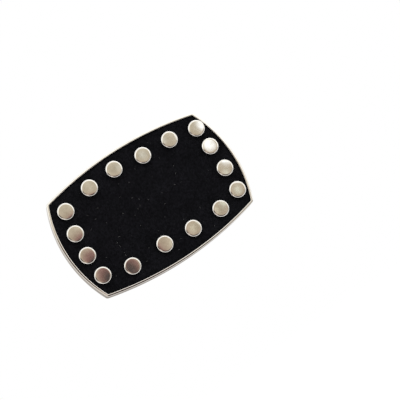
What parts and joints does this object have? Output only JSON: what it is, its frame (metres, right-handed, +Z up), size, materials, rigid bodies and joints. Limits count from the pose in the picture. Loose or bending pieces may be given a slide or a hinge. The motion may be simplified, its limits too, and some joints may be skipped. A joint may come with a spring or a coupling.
{
  "type": "belt buckle",
  "caption": "Wide barrel-shaped plate belt buckle: bright cast frame, black suede inlay edged with flat nickel studs, hinged wire strap bail and hook stud on the back.",
  "frame": {"origin": "middle of the frame's flat back", "axes": "+X along the buckle to the viewer's right, where the strap bail is, +Y out of the back, so the face looks to -Y, +Z up as worn"},
  "size_m": [0.1024, 0.0185, 0.0672],
  "materials": {
    "frame_nickel": "polished nickel plate",
    "stud_nickel": "satin nickel plate, lightly handled",
    "post_nickel": "plain nickel plate",
    "wire_nickel": "nickel-plated steel",
    "black_suede": "brushed suede nap",
    "fibre_board": "pressed leather fibre"
  },
  "bodies": {
    "plate": {"buckle_frame": "frame_nickel", "suede_inlay": "black_suede", "inlay_board": "fibre_board", "hook_stud": "wire_nickel", "stud_cap_01": "stud_nickel", "stud_cap_02": "stud_nickel", "stud_cap_03": "stud_nickel", "stud_cap_04": "stud_nickel", "stud_cap_05": "stud_nickel", "stud_cap_06": "stud_nickel", "stud_cap_07": "stud_nickel", "stud_cap_08": "stud_nickel", "stud_cap_09": "stud_nickel", "stud_cap_10": "stud_nickel", "stud_cap_11": "stud_nickel", "stud_cap_12": "stud_nickel", "stud_cap_13": "stud_nickel", "stud_cap_14": "stud_nickel", "stud_cap_15": "stud_nickel", "stud_cap_16": "stud_nickel", "stud_post_01": "post_nickel", "stud_post_02": "post_nickel", "stud_post_03": "post_nickel", "stud_post_04": "post_nickel", "stud_post_05": "post_nickel", "stud_post_06": "post_nickel", "stud_post_07": "post_nickel", "stud_post_08": "post_nickel", "stud_post_09": "post_nickel", "stud_post_10": "post_nickel", "stud_post_11": "post_nickel", "stud_post_12": "post_nickel", "stud_post_13": "post_nickel", "stud_post_14": "post_nickel", "stud_post_15": "post_nickel", "stud_post_16": "post_nickel"},
    "bail": {"strap_bail": "wire_nickel"}
  },
  "joints": [
    {"name": "bail_swing", "type": "hinge", "parent": "plate", "child": "bail", "pos_m": [0.024, 0.0061, 0], "axis": [0, 0, 1], "range_deg": [-12, 192]}
  ]
}
